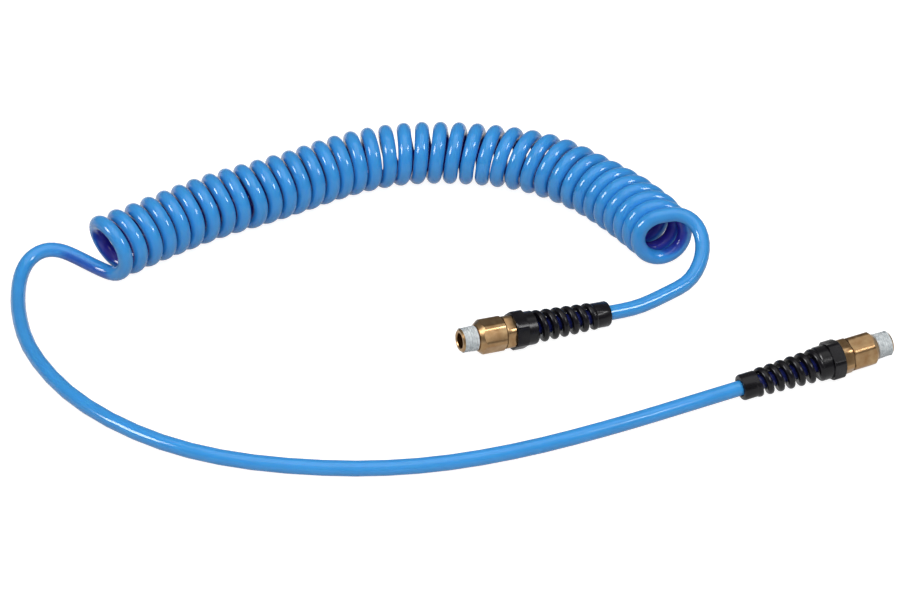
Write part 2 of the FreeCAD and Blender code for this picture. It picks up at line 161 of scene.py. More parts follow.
AXIS_STEPS = 24
axis_points = [Vector((x, y, COIL_DIAMETER / 2.0)) * MM for x, y in COIL_AXIS]
axis_curve = nurbs_curve("coil_axis", axis_points, AXIS_STEPS)
axis_line = curve_line(axis_curve)
bpy.data.objects.remove(axis_curve)
axis_reach = [0.0]
for before, after in zip(axis_line, axis_line[1:]):
    axis_reach.append(axis_reach[-1] + (after - before).length)
print("coil axis length in mm", round(axis_reach[-1] / MM, 1))


def axis_at(distance):
    """Point and direction of the coil's axis at a distance from its tool end."""
    index = 1
    while index < len(axis_reach) - 1 and axis_reach[index] < distance:
        index += 1
    start, end = axis_line[index - 1], axis_line[index]
    share = (distance - axis_reach[index - 1]) / (axis_reach[index] - axis_reach[index - 1])
    return start + (end - start) * share, (end - start).normalized()


# %% [markdown]
# A wound hose never settles into an even helix. Its turns bunch up in one place and open in
# another, and they lean where the coil bends. A plain helix could be bent with a modifier, but
# that would keep it even. Here a table gives, for a few turns, how far the turn is pushed along
# the coil, how far its top leans, how far its near side swings, how much wider it is, and how
# far it bows out of one plane, half of it each way.

# %% The turns
# Turn, then in millimetres: push, lean, swing, extra radius, bow
TURN_TABLE = [
    (0.0, -1.20, -2.20, 1.50, 0.70, -0.30), (2.5, 1.15, -2.26, 0.00, -0.08, -0.41),
    (5.0, 0.10, -0.87, -0.64, -0.06, -0.80), (9.0, -0.12, -1.52, 1.54, 0.23, -0.90),
    (13.0, -1.45, -0.15, -0.98, -0.24, -0.97), (17.0, -2.14, -0.58, -0.95, -0.17, -0.52),
    (21.0, -1.95, -0.28, 0.79, -0.42, 0.43), (25.0, -2.24, 0.57, -0.04, -0.54, 0.43),
    (28.0, -1.41, 1.11, 0.99, -0.03, 0.39), (31.0, 0.60, 0.50, 0.60, -0.42, 0.40),
    (33.5, 1.90, 0.20, -1.30, 0.32, 0.30), (35.5, 2.80, -1.10, -3.20, 0.47, 0.10),
    (37.5, 1.20, -1.90, -4.60, -0.50, 0.00)]
BOW_ANGLE = math.radians(124.0)
LIFT = 0.2                       # keeps the lowest turns from dipping into the table


def turn_shape(turn):
    """The table's five values at a turn, in metres."""
    for low, high in zip(TURN_TABLE, TURN_TABLE[1:]):
        if turn <= high[0]:
            break
    share = (turn - low[0]) / (high[0] - low[0])
    return [(a + (b - a) * share) * MM for a, b in zip(low[1:], high[1:])]


def coil_points():
    """Points of all turns, from the bottom of the first to the top of the last."""
    # A spline of order 3 lies this much inside evenly spaced points on a circle
    sag = 0.5 + 0.5 * math.cos(math.pi / POINTS_PER_TURN) ** 2
    points = []
    for index in range(int(COIL_TURNS * POINTS_PER_TURN) + 1):
        turn = index / POINTS_PER_TURN
        push, lean, swing, wider, bow = turn_shape(turn)
        middle, way = axis_at(axis_reach[-1] * turn / COIL_TURNS + push)
        towards_viewer = Vector((way.y, -way.x, 0.0))
        angle = 2.0 * math.pi * turn
        radius = (COIL_DIAMETER - HOSE_DIAMETER) / 2.0 * MM / sag + wider
        up = -math.cos(angle)
        point = middle + towards_viewer * radius * math.sin(angle)
        point += way * (lean * up + swing * math.sin(angle))
        point += way * bow * math.sin(2.0 * (angle - BOW_ANGLE))
        point.z = (HOSE_DIAMETER / 2.0 + LIFT) * MM + radius * sag + radius * up
        points.append(point)
    return points


turns = coil_points()
supply_end = [on_axis("supply", station)
              for station in HOSE_STATIONS + (FITTING_LENGTH + SUPPLY_STRAIGHT,)]
tool_end = [on_axis("tool", station)
            for station in (FITTING_LENGTH + TOOL_STRAIGHT,) + HOSE_STATIONS[::-1]]
route = (supply_end + [Vector(point) * MM for point in reversed(SUPPLY_TAIL)]
         + turns[::-1] + [Vector(point) * MM for point in TOOL_TAIL] + tool_end)
STEPS_PER_POINT = 3
hose_curve = nurbs_curve("hose_line", route, STEPS_PER_POINT)
hose_line = curve_line(hose_curve)
bpy.data.objects.remove(hose_curve)
hose_length = sum((after - before).length for before, after in zip(hose_line, hose_line[1:]))
print("hose length in m", round(hose_length, 3), "drawn with", len(hose_line), "points")

# %% [markdown]
# The tube's skin is a ring of points carried along that line without twisting. A curve with a
# round bevel would look the same, but a mesh can also store a value at each spot, here a painted
# shade. The real tube looks deep violet where it faces into the coil, because that side only sees
# other turns, and that shade is painted on. The first and last turns get it gradually, since
# light still comes in at the open ends. Two more places get painted shade: the hose inside the
# guards, and the short piece that dives under the coil's open end on its way to the curl.

# %% The hose's skin
HOSE_SIDES = 24
FIRST_COIL_POINT = len(supply_end) + len(SUPPLY_TAIL)
LAST_COIL_POINT = FIRST_COIL_POINT + len(turns) - 1
# These set where the hose's skin gets painted shade and how deep it is.
OPEN_END_POINTS = 14.0
COIL_SHADE = 0.8
GUARD_MOUTH = 6.0                # how far light reaches into a guard, in millimetres
DIVE_MIDDLE = 1.8                # counted in route points from the coil's last one
DIVE_HALF = 2.4
DIVE_SHADES = (0.38, 0.5)        # at its ends and in its middle


def under_guard(point):
    """Whether a point of the hose is inside one of the fittings."""
    stations = [(matrix.inverted() @ point).z / MM for matrix in PLACES.values()]
    offsets = [(on_axis(end, station) - point).length
               for end, station in zip(PLACES, stations)]
    return any(station < FITTING_LENGTH - GUARD_MOUTH and offset < HOSE_DIAMETER * MM
               for station, offset in zip(stations, offsets))


def depth_in_coil(index):
    """0 on the free hose and 1 inside the coil, for a point of the drawn line."""
    point = index / STEPS_PER_POINT + 0.5
    from_ends = min(point - FIRST_COIL_POINT, LAST_COIL_POINT - point)
    share = min(1.0, max(0.0, from_ends / OPEN_END_POINTS))
    return share * share * (3.0 - 2.0 * share)


def shade_of_dive(index, outwards):
    """The painted shade under the coil's open end: least on its upper side, most below and in front.
    """
    past = index / STEPS_PER_POINT + 0.5 - LAST_COIL_POINT
    share = min(1.0, 2.0 - 2.0 * abs(past - DIVE_MIDDLE) / DIVE_HALF)
    if share <= 0.0:
        return 0.0
    shade = DIVE_SHADES[0] + (DIVE_SHADES[1] - DIVE_SHADES[0]) * share * share * (3.0 - 2.0 * share)
    downwards = min(1.0, 1.05 - 0.5 * outwards.z - 0.3 * min(0.0, outwards.y))
    return shade * downwards


def hose_skin(line):
    """A closed round tube along the line, with its painted shade stored at each point."""
    radius = HOSE_DIAMETER / 2.0 * MM
    vertices, painted_shade = [], []
    normal = Vector((0, 0, 1))
    for index, point in enumerate(line):
        before = line[max(index - 1, 0)]
        after = line[min(index + 1, len(line) - 1)]
        way = (after - before).normalized()
        normal = (normal - way * normal.dot(way)).normalized()
        other = way.cross(normal)
        nearest = min(axis_line, key=lambda place: (place - point).length_squared)
        to_axis = (nearest - point).normalized()
        depth = depth_in_coil(index)
        guarded = under_guard(point)
        for side in range(HOSE_SIDES):
            angle = 2.0 * math.pi * side / HOSE_SIDES
            outwards = normal * math.cos(angle) + other * math.sin(angle)
            vertices.append(point + outwards * radius)
            # painted shade: most where the skin faces the coil's axis inside the coil, on the piece
            # under its open end, and full inside the guards
            facing = 0.5 + 0.5 * outwards.dot(to_axis)
            shade = max(COIL_SHADE * depth * facing, shade_of_dive(index, outwards))
            painted_shade.append(1.0 if guarded else shade)
    faces = []
    for ring in range(len(line) - 1):
        for side in range(HOSE_SIDES):
            near = ring * HOSE_SIDES
            far = near + HOSE_SIDES
            following = (side + 1) % HOSE_SIDES
            faces.append((near + side, near + following, far + following, far + side))
    faces.append(tuple(range(HOSE_SIDES))[::-1])
    faces.append(tuple(range(len(vertices) - HOSE_SIDES, len(vertices))))
    mesh = bpy.data.meshes.new("hose")
    mesh.from_pydata(vertices, [], faces)
    mesh.attributes.new("painted_shade", "FLOAT", "POINT").data.foreach_set("value", painted_shade)
    mesh.polygons.foreach_set("use_smooth", [len(face) == 4 for face in faces])
    mesh.update()
    return mesh


hose = bpy.data.objects.new("hose", hose_skin(hose_line))
bpy.context.scene.collection.objects.link(hose)
print("hose skin has", len(hose.data.polygons), "faces")

# %% [markdown]
# Every metal piece here starts on a lathe or as a six-sided bar. Lathe work is made like by
# hand: a circle is extruded along the axis and scaled at each corner of the outline, and an
# outline that comes back to its start gives a closed wall. Spin would do the same in one step,
# but it leaves doubled seams. Bars are cylinders with six sides whose long edges are rolled
# round. The fitting's own axis is Z until the piece is finished, then the mesh is moved to its
# place, so that the object itself stays at the origin.

# %% Selection and cleaning
LATHE_SIDES = 96


def deselect_all():
    if bpy.context.object and bpy.context.object.mode != "OBJECT":
        bpy.ops.object.mode_set(mode="OBJECT")
    bpy.ops.object.select_all(action="DESELECT")


def pick(piece):
    deselect_all()
    piece.select_set(True)
    bpy.context.view_layer.objects.active = piece


def clean_closed_mesh(piece):
    """Merge doubled points and point all faces outwards."""
    pick(piece)
    bpy.ops.object.mode_set(mode="EDIT")
    bpy.ops.mesh.select_all(action="SELECT")
    bpy.ops.mesh.remove_doubles(threshold=0.002 * MM)
    bpy.ops.mesh.normals_make_consistent(inside=False)
    bpy.ops.object.mode_set(mode="OBJECT")


# %% Turned and six-sided blanks
def turned(name, outline, sides=LATHE_SIDES):
    """Lathe work from an outline of (station, radius) corners in millimetres."""
    deselect_all()
    station, radius = outline[0]
    bpy.ops.mesh.primitive_circle_add(vertices=sides, radius=radius * MM,
                                      location=(0, 0, station * MM))
    piece = bpy.context.object
    piece.name = name
    bpy.ops.object.transform_apply(location=True, rotation=True, scale=True)
    bpy.ops.object.mode_set(mode="EDIT")
    bpy.ops.mesh.select_all(action="SELECT")
    for (z0, r0), (z1, r1) in zip(outline, outline[1:]):
        bpy.ops.mesh.extrude_region_move(TRANSFORM_OT_translate={"value": (0, 0, (z1 - z0) * MM)})
        bpy.ops.transform.resize(value=(r1 / r0, r1 / r0, 1.0), center_override=(0, 0, 0))
    bpy.ops.object.mode_set(mode="OBJECT")
    clean_closed_mesh(piece)
    return piece


def six_sided(name, across_flats, start, end, roll, corner_round):
    """Hexagonal bar with rolled edges and one corner at the roll angle."""
    deselect_all()
    bpy.ops.mesh.primitive_cylinder_add(vertices=6, radius=across_flats / math.sqrt(3.0) * MM,
                                        depth=(end - start) * MM,
                                        location=(0, 0, (start + end) / 2.0 * MM))
    piece = bpy.context.object
    piece.name = name
    corner = piece.data.vertices[0].co
    piece.rotation_euler.z = math.radians(roll) - math.atan2(corner.y, corner.x)
    bpy.ops.object.transform_apply(location=True, rotation=True, scale=True)
    bpy.ops.object.mode_set(mode="EDIT")
    bpy.ops.mesh.select_mode(type="EDGE")
    bpy.ops.mesh.select_all(action="DESELECT")
    bpy.ops.object.mode_set(mode="OBJECT")
    for edge in piece.data.edges:
        low, high = (piece.data.vertices[index].co.z for index in edge.vertices)
        edge.select = abs(high - low) > 0.1 * MM
    bpy.ops.object.mode_set(mode="EDIT")
    bpy.ops.mesh.bevel(offset=corner_round * MM, segments=6, affect="EDGES")
    bpy.ops.object.mode_set(mode="OBJECT")
    return piece


# %% Joining, edges and placing
def combine(piece, tool, operation):
    """Join, cut or trim a piece with another, which is used up."""
    pick(piece)
    boolean = piece.modifiers.new("shape", "BOOLEAN")
    boolean.operation = operation
    boolean.solver = "EXACT"
    boolean.object = tool
    bpy.ops.object.modifier_apply(modifier=boolean.name)
    bpy.data.objects.remove(tool)


def break_edges(piece, width, segments=2, angle=28.0):
    """Round every sharp edge a little, as tumbling or a worn mould does."""
    pick(piece)
    bevel = piece.modifiers.new("broken_edges", "BEVEL")
    bevel.width = width * MM
    bevel.segments = segments
    bevel.limit_method = "ANGLE"
    bevel.angle_limit = math.radians(angle)
    bevel.use_clamp_overlap = True
    bpy.ops.object.modifier_apply(modifier=bevel.name)


def place(piece, end, body, slot, *nodes):
    """Remember a piece's own axes for its finish, move it to its fitting and tell the frame."""
    clean_closed_mesh(piece)
    bpy.ops.object.shade_smooth_by_angle(angle=math.radians(32.0))
    own_place = [value for vertex in piece.data.vertices for value in vertex.co]
    piece.data.attributes.new("own_place", "FLOAT_VECTOR", "POINT").data.foreach_set(
        "vector", own_place)
    piece.data.transform(PLACES[end])
    piece.data.update()
    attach(piece, body)
    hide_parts(*nodes)
    print(piece.name, "has", len(piece.data.polygons), "faces")


# %% [markdown]
# The swivel nipple is brass bar: a long hexagon for the spanner, turned down to a cone and to
# the R 1/4 thread in front of it. The hexagon is trimmed by a turned blank, which gives the
# curved edges where the cone runs into the flats. The thread's wave is then moved into a finely
# divided cylinder, point by point, because a helix can't be turned ring by ring.

# %% Values of the thread and the nipple
THREAD_GAUGE_RADIUS = 6.5785
THREAD_PITCH = 1.337
THREAD_WAVE = 0.42               # a coated thread looks shallower than the cut one
THREAD_LENGTH = 9.2
NOSE_LENGTH = 1.1
NOSE_RADIUS = 6.2
COAT_END = 8.5
AIR_BORE_RADIUS = 4.0
BRASS_HEX = 17.0
HEX_CORNER_ROUND = 1.9
NIPPLE_HEX_END = 23.7
COLLAR_RADIUS = 7.0
CONE_LENGTH = 2.8
CAVITY_RADIUS = 5.6
CAVITY_START = 12.1
ROLLS = {"supply": {"nipple": 27.5, "union": 53.0, "nut": 45.0},
         "tool": {"nipple": 13.0, "union": 25.0, "nut": 173.0}}


# %% Thread wave
def press_thread(piece, first, last, radius, wave):
    """Push the outer skin between two stations into a right-handed helical wave."""
    for vertex in piece.data.vertices:
        station = vertex.co.z / MM
        reach = math.hypot(vertex.co.x, vertex.co.y) / MM
        if first < station < last and reach > radius - 1.0:
            turn = math.atan2(vertex.co.y, vertex.co.x) / (2.0 * math.pi)
            phase = (station / THREAD_PITCH - turn) % 1.0
            fade = min(1.0, (station - first) / 0.5, (last - station) / 0.5)
            taper = (station - THREAD_MIDDLE) / 32.0
            depth = wave * fade * (0.5 - 0.5 * math.cos(2.0 * math.pi * phase))
            new_reach = radius + taper - depth
            vertex.co.x *= new_reach / reach
            vertex.co.y *= new_reach / reach


def many(first, last, count, radius):
    """Outline corners at even steps along a straight stretch."""
    return [(first + (last - first) * step / count, radius) for step in range(1, count + 1)]


# %% Swivel nipples
def make_nipple(end):
    front = [(0, AIR_BORE_RADIUS + 0.4), (0, NOSE_RADIUS - 0.7), (0.9, NOSE_RADIUS)]
    threaded = many(0.9, THREAD_LENGTH, 60, NOSE_RADIUS)
    back = [(THREAD_LENGTH, COLLAR_RADIUS - 0.2), (THREAD_LENGTH + 1.0, COLLAR_RADIUS - 0.2),
            (THREAD_LENGTH + 1.0, AIR_BORE_RADIUS)]
    stub = turned(end + "_stub", front + threaded + back
                  + [(0.4, AIR_BORE_RADIUS), (0, AIR_BORE_RADIUS + 0.4)])
    press_thread(stub, 0.95, THREAD_LENGTH - 0.2, NOSE_RADIUS, THREAD_WAVE)
    corner = BRASS_HEX / math.sqrt(3.0) - 0.35
    body = six_sided(end + "_nipple_look", BRASS_HEX, THREAD_LENGTH, NIPPLE_HEX_END,
                     ROLLS[end]["nipple"], HEX_CORNER_ROUND)
    blank = turned("blank", [
        (THREAD_LENGTH, AIR_BORE_RADIUS), (THREAD_LENGTH, COLLAR_RADIUS),
        (THREAD_LENGTH + CONE_LENGTH, corner), (NIPPLE_HEX_END - 0.5, corner),
        (NIPPLE_HEX_END, corner - 0.8), (NIPPLE_HEX_END, CAVITY_RADIUS + 0.4),
        (NIPPLE_HEX_END - 0.4, CAVITY_RADIUS), (CAVITY_START, CAVITY_RADIUS),
        (CAVITY_START, AIR_BORE_RADIUS), (THREAD_LENGTH, AIR_BORE_RADIUS)])
    combine(body, blank, "INTERSECT")
    combine(body, stub, "UNION")
    break_edges(body, 0.16)
    place(body, end, end + "_swivel", "brass", end + "_nipple")
    return body


nipples = [make_nipple(end) for end in PLACES]

# %% [markdown]
# The pale band on the thread is a dried sealing paste, rolled on at the factory. It fills the
# grooves, so only a soft wave of the thread shows through. It could be painted on the nipple,
# but it has a thickness and uneven rims, so it is a thin sleeve of its own with that wave.

# %% The sealing coat
COAT_WAVE = 0.30
COAT_WALL = 0.75


def make_coat(end):
    outside = many(NOSE_LENGTH, COAT_END, 48, THREAD_GAUGE_RADIUS)
    rim = THREAD_GAUGE_RADIUS - 0.25
    coat = turned(end + "_thread_coat", [(NOSE_LENGTH - 0.15, NOSE_RADIUS - COAT_WALL),
                  (NOSE_LENGTH - 0.15, rim), (NOSE_LENGTH, THREAD_GAUGE_RADIUS)] + outside
                  + [(COAT_END + 0.2, rim), (COAT_END + 0.2, NOSE_RADIUS - COAT_WALL),
                     (NOSE_LENGTH - 0.15, NOSE_RADIUS - COAT_WALL)])
    press_thread(coat, NOSE_LENGTH, COAT_END, THREAD_GAUGE_RADIUS, COAT_WAVE)
    place(coat, end, end + "_swivel", "white_sealant", end + "_thread_sealant")
    return coat


coats = [make_coat(end) for end in PLACES]

# %% [markdown]
# The union body carries the hose. Its shank turns inside the nipple, its short hexagon shows
# beside the nut, and its stem has three saw-toothed barbs on which the hose is pushed. Shank,
# hexagon and stem could be one outline, but only the hexagon isn't round, so the round work is
# turned in one go and the hexagon is joined to it.

# %% Values of the union body
UNION_START = 24.1
UNION_HEX_END = 29.2
UNION_THREAD_RADIUS = 7.4
UNION_THREAD_END = 35.4
SHANK_START = 12.5
SHANK_RADIUS = 5.55
UNION_BORE_RADIUS = 1.7
SEAL_GROOVES = (14.8, 21.8)
RETAINER_GROOVE = 18.3
BARB_ROOT = 2.4
BARB_TOP = 2.75
BARB_END = 46.2
HOSE_POCKET_RADIUS = 4.1
HOSE_POCKET_FLOOR = 32.2


# %% Union bodies
def make_union(end):
    shank = [(SHANK_START, 3.4), (SHANK_START, SHANK_RADIUS - 0.4),
             (SHANK_START + 0.4, SHANK_RADIUS)]
    for middle, half, floor in ((SEAL_GROOVES[0], 0.85, 4.3), (RETAINER_GROOVE, 0.6, 5.0),
                                (SEAL_GROOVES[1], 0.85, 4.3)):
        shank += [(middle - half, SHANK_RADIUS), (middle - half, floor), (middle + half, floor),
                  (middle + half, SHANK_RADIUS)]
    stem = [(UNION_START + 1.0, SHANK_RADIUS), (UNION_START + 1.0, UNION_THREAD_RADIUS)]
    stem += many(UNION_START + 1.0, UNION_THREAD_END, 40, UNION_THREAD_RADIUS)
    stem += [(UNION_THREAD_END, HOSE_POCKET_RADIUS), (HOSE_POCKET_FLOOR, HOSE_POCKET_RADIUS),
             (HOSE_POCKET_FLOOR, BARB_ROOT)]
    step = (BARB_END - UNION_THREAD_END - 1.2) / 3.0
    for barb in range(3):
        start = UNION_THREAD_END + 1.2 + barb * step
        stem += [(start, BARB_ROOT), (start, BARB_TOP), (start + 0.9 * step, BARB_ROOT)]
    stem += [(BARB_END, BARB_ROOT), (BARB_END, UNION_BORE_RADIUS),
             (SHANK_START + 3.4, UNION_BORE_RADIUS), (SHANK_START, 3.4)]
    inner = turned(end + "_union_inner", shank + stem, 48)
    body = six_sided(end + "_union_look", BRASS_HEX, UNION_START, UNION_HEX_END,
                     ROLLS[end]["union"], HEX_CORNER_ROUND)
    corner = BRASS_HEX / math.sqrt(3.0) - 0.35
    blank = turned("blank", [
        (UNION_START, SHANK_RADIUS - 0.3), (UNION_START, corner - 0.8), (UNION_START + 0.5, corner),
        (UNION_HEX_END - 0.5, corner), (UNION_HEX_END, corner - 0.8),
        (UNION_HEX_END, SHANK_RADIUS - 0.3), (UNION_START, SHANK_RADIUS - 0.3)])
    combine(body, blank, "INTERSECT")
    combine(body, inner, "UNION")
    break_edges(body, 0.12)
    place(body, end, "hose_assembly", "brass", end + "_union_body")
    return body


unions = [make_union(end) for end in PLACES]

# %% [markdown]
# The black nut and its bend guard are one moulding of nylon: a hexagon, a round barrel, nearly
# six turns of a springy strand and a ring that the hose slides through. The strand is a rounded
# bar swept by the Screw modifier. Its outer side is then drawn in towards the ring, because the
# guard gets slimmer along the hose, while its inner side keeps its distance from the hose.

# %% Values of the guard nut
NUT_HEX = 19.0
NUT_CORNER_RADIUS = 10.5
NUT_CORNER_ROUND = 0.7
NUT_HEX_END = 35.9
BARREL_RADIUS = 9.0
BARREL_END = 41.8
NUT_BORE_RADIUS = 4.35
SPIRAL_PITCH = 5.85
SPIRAL_TURNS = 5.9
SPIRAL_WIDTH = 3.9
SPIRAL_CREST_SHARE = 0.8         # the strand is this much narrower outside
SPIRAL_INNER_RADIUS = 4.4
SPIRAL_FIRST_RADIUS = 8.9
SPIRAL_LAST_RADIUS = 7.3
SPIRAL_PHASE = 0.709
SPIRAL_ROOT = 1.0
SPIRAL_EDGE_ROUND = 1.5
RING_RADIUS = 6.8
SPIRAL_END = BARREL_END + SPIRAL_TURNS * SPIRAL_PITCH
SCREW_STEPS = 40


# %% The springy strand
def make_strand(roll):
    """The strand from inside the barrel to inside the ring."""
    first = BARREL_END - SPIRAL_ROOT
    last = SPIRAL_END + SPIRAL_ROOT
    turns_made = (last - first) / SPIRAL_PITCH
    start_turn = (first - BARREL_END) / SPIRAL_PITCH - SPIRAL_PHASE
    middle = (SPIRAL_FIRST_RADIUS + SPIRAL_INNER_RADIUS) / 2.0 * MM
    deselect_all()
    bpy.ops.mesh.primitive_plane_add(size=1.0, rotation=(math.pi / 2.0, 0, 0))
    strand = bpy.context.object
    strand.name = "strand"
    strand.scale = ((SPIRAL_FIRST_RADIUS - SPIRAL_INNER_RADIUS) * MM, SPIRAL_WIDTH * MM, 1.0)
    strand.location = (middle, 0, first * MM)
    bpy.ops.object.transform_apply(location=True, rotation=True, scale=True)
    bpy.ops.object.mode_set(mode="EDIT")
    bpy.ops.mesh.select_mode(type="VERT")
    bpy.ops.object.mode_set(mode="OBJECT")
    for vertex in strand.data.vertices:
        vertex.select = vertex.co.x > middle
        if vertex.select:
            vertex.co.z = first * MM + (vertex.co.z - first * MM) * SPIRAL_CREST_SHARE
    bpy.ops.object.mode_set(mode="EDIT")
    bpy.ops.mesh.bevel(offset=SPIRAL_EDGE_ROUND * MM, segments=6, affect="VERTICES")
    bpy.ops.mesh.select_all(action="SELECT")
    bpy.ops.mesh.delete(type="ONLY_FACE")
    bpy.ops.object.mode_set(mode="OBJECT")
    screw = strand.modifiers.new("helix", "SCREW")
    screw.axis = "Z"
    screw.angle = 2.0 * math.pi * turns_made
    screw.screw_offset = (last - first) * MM
    screw.steps = int(SCREW_STEPS * turns_made)
    screw.render_steps = screw.steps
    bpy.ops.object.modifier_apply(modifier=screw.name)
    bpy.ops.object.mode_set(mode="EDIT")
    bpy.ops.mesh.select_mode(type="EDGE")
    bpy.ops.mesh.select_all(action="DESELECT")
    bpy.ops.mesh.select_non_manifold()
    bpy.ops.mesh.edge_face_add()
    bpy.ops.object.mode_set(mode="OBJECT")
    for vertex in strand.data.vertices:
        share = min(1.0, max(0.0, (vertex.co.z / MM - first) / (last - first)))
        reach = math.hypot(vertex.co.x, vertex.co.y)
        depth = (reach / MM - SPIRAL_INNER_RADIUS) / (SPIRAL_FIRST_RADIUS - SPIRAL_INNER_RADIUS)
        drawn_in = (SPIRAL_FIRST_RADIUS - SPIRAL_LAST_RADIUS) * MM * share * max(0.0, depth)
        vertex.co.x *= (reach - drawn_in) / reach
        vertex.co.y *= (reach - drawn_in) / reach
    strand.data.transform(Matrix.Rotation(math.radians(roll) + 2.0 * math.pi * start_turn, 4, "Z"))
    clean_closed_mesh(strand)
    return strand


# %% Guard nuts
def make_guard_nut(end):
    roll = ROLLS[end]["nut"]
    body = six_sided(end + "_guard_nut_look", NUT_HEX, UNION_HEX_END, NUT_HEX_END, roll,
                     NUT_CORNER_ROUND)
    blank = turned("blank", [
        (UNION_HEX_END, UNION_THREAD_RADIUS), (UNION_HEX_END, NUT_CORNER_RADIUS - 0.6),
        (UNION_HEX_END + 0.6, NUT_CORNER_RADIUS), (NUT_HEX_END - 0.3, NUT_CORNER_RADIUS),
        (NUT_HEX_END, NUT_CORNER_RADIUS - 0.3), (NUT_HEX_END, UNION_THREAD_RADIUS - 0.4),
        (UNION_THREAD_END, UNION_THREAD_RADIUS), (UNION_HEX_END, UNION_THREAD_RADIUS)])
    combine(body, blank, "INTERSECT")
    barrel = turned("barrel", [
        (NUT_HEX_END - 0.5, NUT_BORE_RADIUS), (NUT_HEX_END - 0.5, BARREL_RADIUS - 0.6),
        (NUT_HEX_END, BARREL_RADIUS), (BARREL_END - 0.6, BARREL_RADIUS),
        (BARREL_END, BARREL_RADIUS - 0.6), (BARREL_END, NUT_BORE_RADIUS),
        (NUT_HEX_END - 0.5, NUT_BORE_RADIUS)])
    combine(body, barrel, "UNION")
    combine(body, make_strand(roll), "UNION")
    ring = turned("ring", [
        (SPIRAL_END, NUT_BORE_RADIUS), (SPIRAL_END, RING_RADIUS - 0.4),
        (SPIRAL_END + 0.4, RING_RADIUS), (FITTING_LENGTH - 1.0, RING_RADIUS),
        (FITTING_LENGTH - 0.3, RING_RADIUS - 0.4), (FITTING_LENGTH, RING_RADIUS - 1.1),
        (FITTING_LENGTH, NUT_BORE_RADIUS + 0.3), (FITTING_LENGTH - 0.3, NUT_BORE_RADIUS),
        (SPIRAL_END, NUT_BORE_RADIUS)])
    combine(body, ring, "UNION")
    break_edges(body, 0.2, segments=3, angle=35.0)
    place(body, end, "hose_assembly", "black_nylon", end + "_guard_nut")
    return body


guard_nuts = [make_guard_nut(end) for end in PLACES]

# %% [markdown]
# Finishes come next. A finish could be one flat colour, but a real surface varies from spot to
# spot, so each gets a small recipe of nodes. Every colour is written as a screen colour in hex
# and turned to linear light by one function. One other function adds a node with its settings
# and links, so that a finish reads as a short list.

# %% Colour and node helpers
def linear(hex_colour):
    """Screen colour such as "3F93D8" as linear red, green, blue and full cover."""
    values = [int(hex_colour[start:start + 2], 16) / 255.0 for start in (0, 2, 4)]
    return tuple(v / 12.92 if v <= 0.04045 else ((v + 0.055) / 1.055) ** 2.4
                 for v in values) + (1.0,)


def add_node(tree, kind, settings=None, inputs=None, stops=()):
    """One node with its settings, its sockets given values or links, and its colour stops."""
    node = tree.nodes.new(kind)
    for name, value in (settings or {}).items():
        setattr(node, name, value)
    for name, value in (inputs or {}).items():
        if isinstance(value, bpy.types.NodeSocket):
            tree.links.new(value, node.inputs[name])
        else:
            node.inputs[name].default_value = value
    for position, colour in stops[2:]:
        node.color_ramp.elements.new(position)
    for index, (position, colour) in enumerate(stops):
        node.color_ramp.elements[index].position = position
        node.color_ramp.elements[index].color = linear(colour)
    return node


def empty_finish(name):
    """A material whose node tree is empty."""
    material = bpy.data.materials.new(name)
    material.use_nodes = True
    material.node_tree.nodes.clear()
    return material


def finish_with(material, *pieces):
    for piece in pieces:
        piece.data.materials.clear()
        piece.data.materials.append(material)
    print(material.name, "is on", [piece.name for piece in pieces])


# %% [markdown]
# The hose is extruded polyurethane, clear resin with blue pigment. To the eye it is glossy and
# smooth and a little see-through. Its deeper blues and violets are painted shade: the stored
# painted shade value picks them from a ramp, inside the coil, under its open end and inside the
# guards. Glass with a tinted volume would deepen the colour where light passes through more of
# it, but at a great cost in time. The pigment isn't quite even: soft patches about 14 mm across
# change the blue a little.

# %% Polyurethane hose
PIGMENT_PATCH = 14.0 * MM
DIE_WAVE = 9.0 * MM

polyurethane = empty_finish("extruded_polyurethane")
tree = polyurethane.node_tree
painted_shade = add_node(tree, "ShaderNodeAttribute", {"attribute_name": "painted_shade"})
# painted shade: the ramp turns deeper blue and violet as the stored painted shade rises
painted_shade_colour = add_node(tree, "ShaderNodeValToRGB", inputs={"Fac": painted_shade.outputs["Fac"]},
                       stops=[(0.0, "3B9AE2"), (0.40, "3793E0"), (0.51, "2A56B6"),
                              (0.64, "2A32A0"), (0.80, "2A2390"), (1.0, "1A2058")])
on_object = add_node(tree, "ShaderNodeTexCoord")
patches = add_node(tree, "ShaderNodeTexNoise", inputs={
    "Vector": on_object.outputs["Object"], "Scale": 1.0 / PIGMENT_PATCH, "Detail": 2.0})
uneven = add_node(tree, "ShaderNodeMapRange", inputs={
    "Value": patches.outputs["Fac"], "To Min": 0.9, "To Max": 1.1})
blue = add_node(tree, "ShaderNodeHueSaturation", inputs={
    "Color": painted_shade_colour.outputs["Color"], "Value": uneven.outputs["Result"]})
waves = add_node(tree, "ShaderNodeTexNoise", inputs={
    "Vector": on_object.outputs["Object"], "Scale": 1.0 / DIE_WAVE, "Detail": 1.0})
skin = add_node(tree, "ShaderNodeBump", inputs={
    "Height": waves.outputs["Fac"], "Strength": 0.1, "Distance": 0.1 * MM})
shader = add_node(tree, "ShaderNodeBsdfPrincipled", inputs={
    "Base Color": blue.outputs["Color"], "Normal": skin.outputs["Normal"], "Roughness": 0.14,
    "IOR": 1.5, "Subsurface Weight": 0.2, "Subsurface Radius": (0.2, 0.5, 1.0),
    "Subsurface Scale": 2.5 * MM})
add_node(tree, "ShaderNodeOutputMaterial", inputs={"Surface": shader.outputs["BSDF"]})
finish_with(polyurethane, hose)

# %% [markdown]
# The fittings are free-cutting brass, drawn to a hexagon and turned, with no plating. Bare brass
# dulls to olive tan, keeps bright edges where hands rub it and shows fine lines along the drawn
# bar, 0.4 mm apart here so that they show. A metal has no colour of its own but tints what it
# mirrors, so the stains change both its tint and its roughness.

# %% Brass
STAIN_SIZE = 3.5 * MM
DRAWN_LINE = 0.4 * MM
DRAWN_LINE_LENGTH = 9.0 * MM

